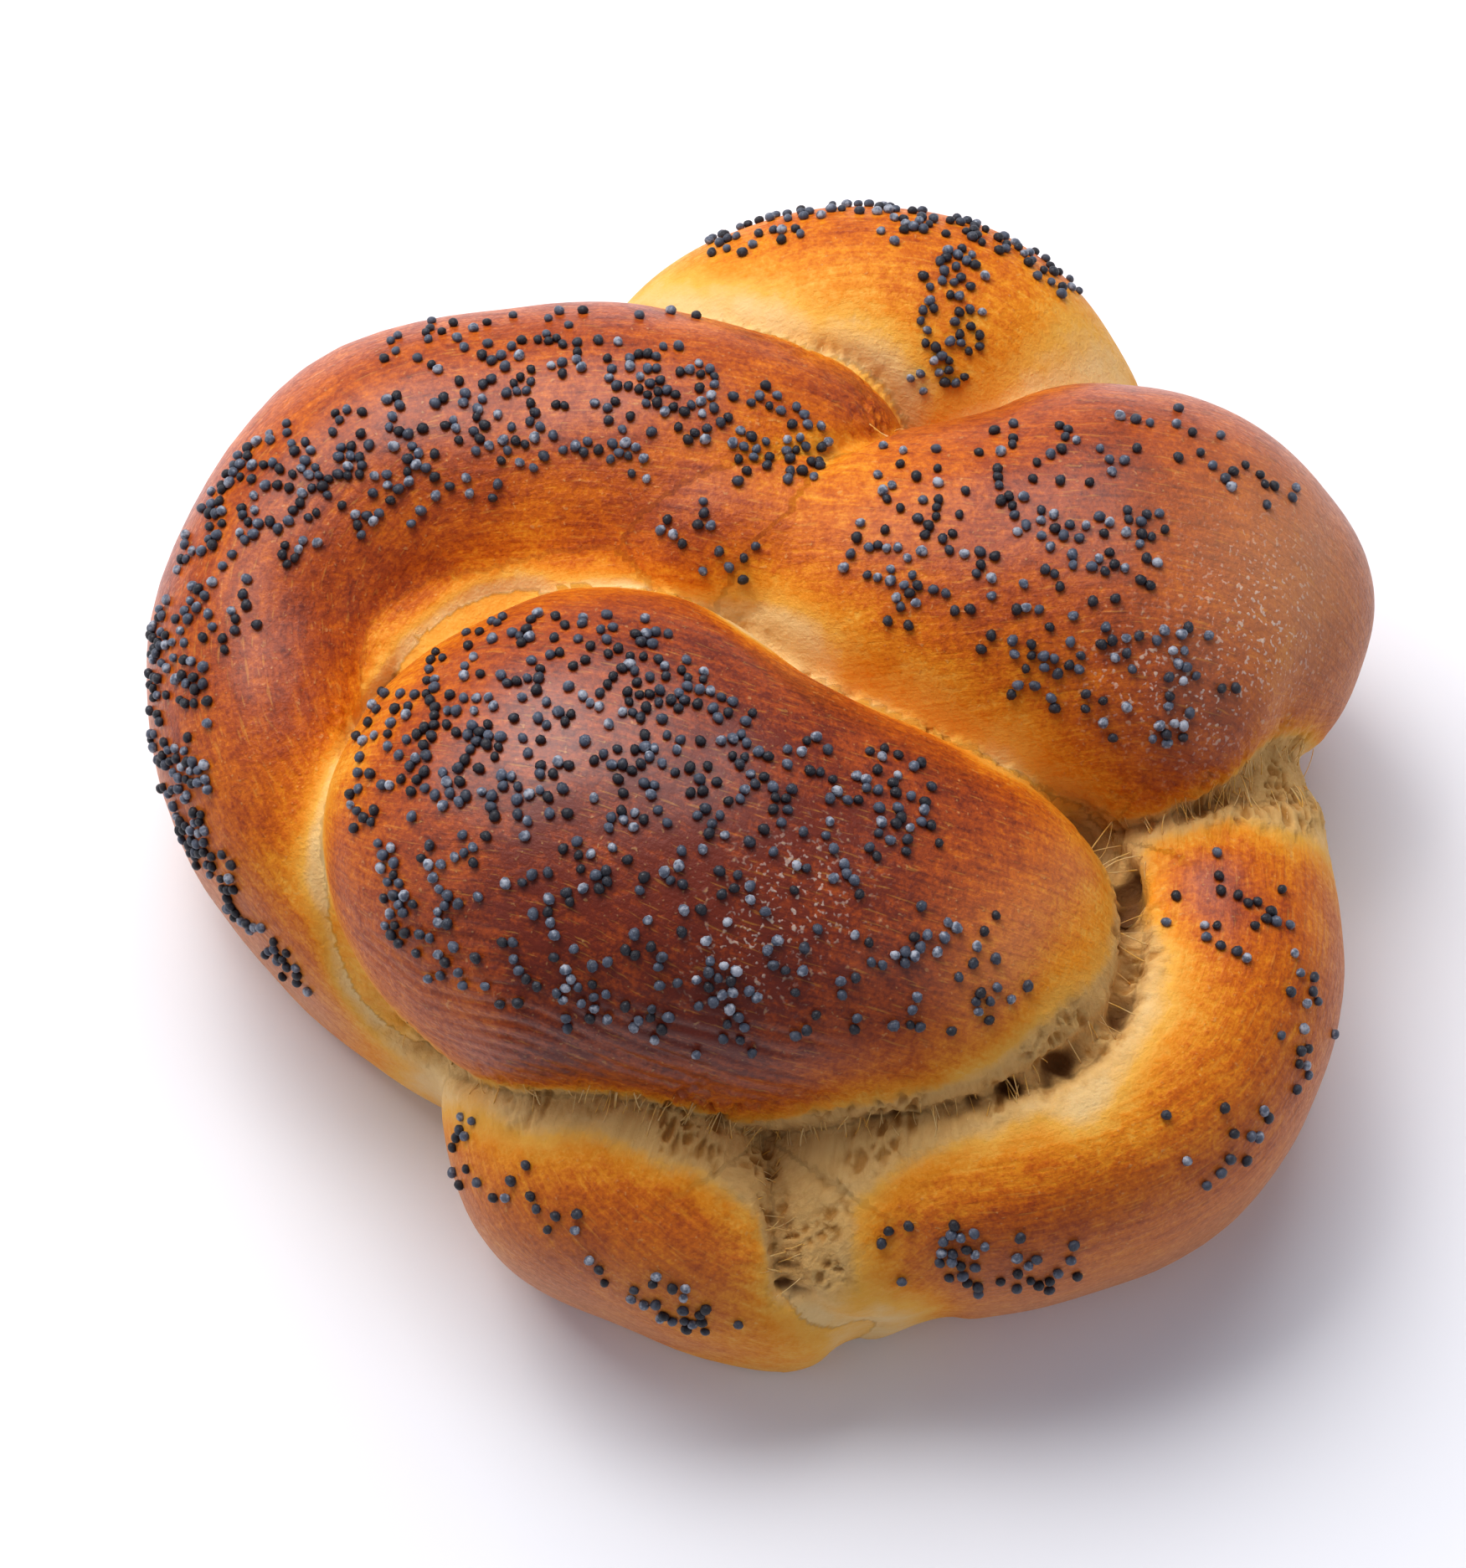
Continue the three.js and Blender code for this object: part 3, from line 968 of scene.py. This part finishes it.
def strew_seeds(mesh, gap):
    """Where the seeds lie: a place and a normal for each, in millimetres. They lie in small clumps, and each
    sprinkle has its own count, unless its crust is full before that."""
    places, normals, areas = triangles_of(mesh)
    middles = places.mean(1)
    draws = np.random.default_rng(SEED_STREW)
    clump = 0.12 + np.clip(noise_at(middles, CLUMP_WIDTH) + 0.18, 0, 1) ** 1.5 * 4.0
    visible = (normals[:, 2] > -0.25) & (middles[:, 2] > 1.5)
    taken, cells = [], {}
    for start, end, reach, count in SPRINKLES:
        distance = distance_to_segment(middles, start, end) / reach
        weight = areas * np.maximum(0, 1 - distance**2) * clump * visible
        if weight.sum() == 0:
            raise RuntimeError(f"no crust lies near the sprinkle from {start} to {end}")
        picks = draws.choice(len(weight), size=count * TRIES, p=weight / weight.sum())
        sides = np.sort(draws.random((len(picks), 2)), axis=1)
        laid = 0
        for pick, (low, high) in zip(picks, sides):
            corners = places[pick]
            spot = corners[0] * low + corners[1] * (high - low) + corners[2] * (1 - high)
            cell = tuple(np.floor(spot / gap).astype(int))
            around = product(*((n - 1, n, n + 1) for n in cell))
            if any(np.linalg.norm(spot - other) < gap for c in around for other in cells.get(c, ())):
                continue
            cells.setdefault(cell, []).append(spot)
            taken.append((spot, normals[pick]))
            laid += 1
            if laid == count:
                break
    return taken


class Copies:
    """Many small shapes in one mesh, each a moved copy of one template ball."""

    def __init__(self, sides, rings):
        bm = bmesh.new()
        bmesh.ops.create_uvsphere(bm, u_segments=sides, v_segments=rings, radius=1.0)
        self.template = bpy.data.meshes.new("template")
        bm.to_mesh(self.template)
        bm.free()
        self.template.attributes.new("tone", "FLOAT", "POINT")
        self.ball = read_vertices(self.template)
        self.bm = bmesh.new()

    def add(self, places, tone):
        """One more copy, with its vertices at these places."""
        write_vertices(self.template, places)
        self.template.attributes["tone"].data.foreach_set("value", np.full(len(places), tone, np.float32))
        self.bm.from_mesh(self.template)

    def finished(self, name):
        """The object that holds all copies."""
        bpy.data.meshes.remove(self.template)
        bmesh.ops.recalc_face_normals(self.bm, faces=self.bm.faces[:])
        return new_object(name, self.bm)


def build_seeds(sizes, crust):
    """All poppy seeds as one mesh: small kidney-shaped grains, a little sunk into the crust."""
    draws = np.random.default_rng(SEED_STREW + 1)
    seeds = Copies(*SEED_BALL)
    x, y, z = seeds.ball.T
    bend = 0.22 * (1 - x * x) * np.where(y < 0, 1, 0.35)  # the hollow side of the kidney
    grain = np.stack([x, 0.80 * y - bend, 0.76 * z], -1)
    for spot, normal in strew_seeds(crust.data, sizes.seed_gap / MM):
        size = sizes.seed_length / 2 * draws.uniform(0.84, 1.10)
        tilt = Matrix.Rotation(draws.uniform(-0.5, 0.5), 3, "X")
        turn = np.array(turned_to(normal, draws.uniform(0, 2 * math.pi)) @ tilt)
        powder = min(spots(spot[None], DUST_SPOTS)[0], 1)
        middle = spot * MM + normal * size * SEED_RISE
        seeds.add(middle + grain @ turn.T * size, draws.random() + 0.45 * powder)
    return seeds.finished("poppy_seeds")


def build_threads(sizes, crust, skin):
    """Thin strings of crumb that span the torn seams, each from one lobe to the next."""
    draws = np.random.default_rng(THREAD_STREW)
    points = read_vertices(crust.data) / MM
    normals = read_vertices(crust.data, "normal")
    tree = BVHTree.FromObject(crust, bpy.context.evaluated_depsgraph_get())
    torn = np.clip(spots(points, TEARS), 0, 1)
    weight = torn**2 * falling(skin.seam - 1.0, 0.9) * (normals[:, 2] > -0.2) * (points[:, 2] > 5)
    threads = Copies(*THREAD_BALL)
    for pick in draws.choice(len(weight), size=sizes.threads, p=weight / weight.sum()):
        towards = skin.across[pick] - points[pick]
        if np.linalg.norm(towards) < 0.2:
            continue
        towards = towards / np.linalg.norm(towards) + draws.normal(0, 0.25, 3)
        reach = sizes.thread_length / MM * draws.uniform(0.35, 1.0)
        start = points[pick] * MM
        end = tree.find_nearest(Vector(start + (towards * reach + normals[pick] * 0.6) * MM))[0]
        if end is None or (end - Vector(start)).length < SHORTEST_THREAD * MM:
            continue
        strand = thread_places(threads.ball, start, np.array(end), normals[pick], sizes.thread_width, draws)
        threads.add(strand, 0.5)
    return threads.finished("crumb_threads")


def thread_places(ball, start, end, normal, width, draws):
    """A ball drawn out to a thin thread between two places, with a slack bow and wider feet."""
    line = end - start
    turn = np.array(turned_to(line / np.linalg.norm(line), 0.0))
    bow = normal * np.linalg.norm(line) * draws.uniform(-0.04, 0.16)
    x, y, z = ball.T
    body = np.maximum(np.sqrt(np.maximum(0, 1 - z * z)), 0.05)
    swell = width / 2 * draws.uniform(0.6, 1.5) * (1 + 0.9 * np.abs(z) ** 3) / body**0.75
    offset = np.stack([x * swell, y * swell, 0 * z], -1) @ turn.T
    return start + line * ((z + 1) / 2)[:, None] + bow * (1 - z * z)[:, None] + offset


# ---- Operators ----

BODY = "root"
built = {}  # what the dough's operator made, for the pieces that lie on it


def give(piece, material):
    """Gives a piece its material and the body that it moves with."""
    piece.data.materials.clear()
    piece.data.materials.append(material)
    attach(piece, BODY)


class BREAD_OT_crust(bpy.types.Operator):
    """Build the baked dough: lobes, seams, torn crumb and crust"""

    bl_idname = "bread.crust"
    bl_label = "Build Crust"

    def execute(self, context):
        crust, skin = build_crust(context.scene.roll_sizes)
        give(crust, crust_material(context.scene.roll_colours))
        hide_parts("loaf")
        built["crust"], built["skin"] = crust, skin
        return {"FINISHED"}


class BREAD_OT_threads(bpy.types.Operator):
    """Build the thin strings of crumb that span the torn seams"""

    bl_idname = "bread.threads"
    bl_label = "Build Crumb Threads"

    def execute(self, context):
        if "crust" not in built:
            raise RuntimeError("build the crust before the crumb threads")
        threads = build_threads(context.scene.roll_sizes, built["crust"], built["skin"])
        give(threads, thread_material(context.scene.roll_colours))
        return {"FINISHED"}


class BREAD_OT_seeds(bpy.types.Operator):
    """Strew the poppy seeds over the crust"""

    bl_idname = "bread.seeds"
    bl_label = "Strew Poppy Seeds"

    def execute(self, context):
        if "crust" not in built:
            raise RuntimeError("build the crust before the poppy seeds")
        seeds = build_seeds(context.scene.roll_sizes, built["crust"])
        give(seeds, seed_material(context.scene.roll_colours))
        return {"FINISHED"}


FLOOR_RADIUS = 3.0  # metres
FLOOR_SIDES = 96
AIM = Vector((-2.68, -4.67, 20.0))  # what the camera looks at, in the frame's millimetres
CAMERA_DISTANCE = 413.0
CAMERA_ELEVATION = math.radians(65)
CAMERA_LENS = 100.0
SENSOR = 36.0  # the long side
NEAREST_VIEW = 0.01  # metres from the camera at which things start to show

# Soft lights: name, direction from the roll, distance and size in metres, watts and colour.
LIGHTS = [
    ("key_light", (-0.52, 0.60, 0.95), 0.75, 0.50, 4.5, (1.0, 0.985, 0.96)),
    ("top_light", (-0.04, 0.64, 0.90), 0.85, 0.60, 4.5, (0.98, 0.985, 1.0)),
    ("left_light", (-1.0, -0.1, 0.45), 0.9, 0.8, 1.3, (0.94, 0.97, 1.0)),
    ("right_light", (0.9, -0.45, 0.45), 0.9, 0.8, 1.3, (0.94, 0.97, 1.0)),
]
ROOM_COLOUR = (0.76, 0.80, 1.0)
ROOM_STRENGTH = 0.25


def aimed(thing, place, target):
    """Puts a camera or a light at a place, looking at a target."""
    thing.location = place
    thing.rotation_euler = (target - place).to_track_quat("-Z", "Y").to_euler()
    bpy.context.scene.collection.objects.link(thing)


def soft_light(name, direction, distance, size, power, colour):
    """A square soft light over the roll."""
    light = bpy.data.lights.new(name, "AREA")
    light.shape = "SQUARE"
    light.size = size
    light.energy = power
    light.color = colour
    aim = AIM * MM
    aimed(bpy.data.objects.new(name, light), aim + Vector(direction).normalized() * distance, aim)


class BREAD_OT_stage(bpy.types.Operator):
    """Build the pale floor, the soft lights and the camera"""

    bl_idname = "bread.stage"
    bl_label = "Build Stage"

    def execute(self, context):
        bm = bmesh.new()
        bmesh.ops.create_circle(bm, cap_ends=True, segments=FLOOR_SIDES, radius=FLOOR_RADIUS)
        floor = new_object("floor", bm, smooth=False)
        floor.data.materials.append(floor_material(context.scene.roll_colours))

        for light in LIGHTS:
            soft_light(*light)
        world = bpy.data.worlds.new("soft room")
        world.use_nodes = True
        background = world.node_tree.nodes["Background"]
        background.inputs["Color"].default_value = opaque(ROOM_COLOUR)
        background.inputs["Strength"].default_value = ROOM_STRENGTH
        context.scene.world = world
        context.scene.view_settings.view_transform = "Standard"

        camera = bpy.data.cameras.new("camera")
        camera.lens = CAMERA_LENS
        camera.sensor_width = SENSOR
        camera.clip_start = NEAREST_VIEW
        aim = AIM * MM
        back = Vector((0, -math.cos(CAMERA_ELEVATION), math.sin(CAMERA_ELEVATION)))
        holder = bpy.data.objects.new("camera", camera)
        aimed(holder, aim + back * CAMERA_DISTANCE * MM, aim)
        context.scene.camera = holder
        return {"FINISHED"}


class BREAD_PT_panel(bpy.types.Panel):
    """The roll's sizes, colours and build steps"""

    bl_idname = "BREAD_PT_panel"
    bl_label = "Braided Bread Roll"
    bl_space_type = "VIEW_3D"
    bl_region_type = "UI"
    bl_category = "Bread"

    def draw(self, context):
        for group in (context.scene.roll_sizes, context.scene.roll_colours):
            column = self.layout.column()
            for name in group.__annotations__:
                column.prop(group, name)
        for operator in OPERATORS:
            self.layout.operator(operator.bl_idname)


OPERATORS = (BREAD_OT_crust, BREAD_OT_threads, BREAD_OT_seeds, BREAD_OT_stage)
CLASSES = (RollSizes, RollColours, *OPERATORS, BREAD_PT_panel)


def register():
    """Adds the classes and the scene's properties."""
    for cls in CLASSES:
        bpy.utils.register_class(cls)
    bpy.types.Scene.roll_sizes = bpy.props.PointerProperty(type=RollSizes)
    bpy.types.Scene.roll_colours = bpy.props.PointerProperty(type=RollColours)


def unregister():
    """Takes the classes and the scene's properties away."""
    del bpy.types.Scene.roll_colours
    del bpy.types.Scene.roll_sizes
    for cls in reversed(CLASSES):
        bpy.utils.unregister_class(cls)


def main():
    """Builds every piece in order."""
    register()
    bpy.ops.bread.crust()
    bpy.ops.bread.threads()
    bpy.ops.bread.seeds()
    bpy.ops.bread.stage()


if __name__ == "__main__":
    main()
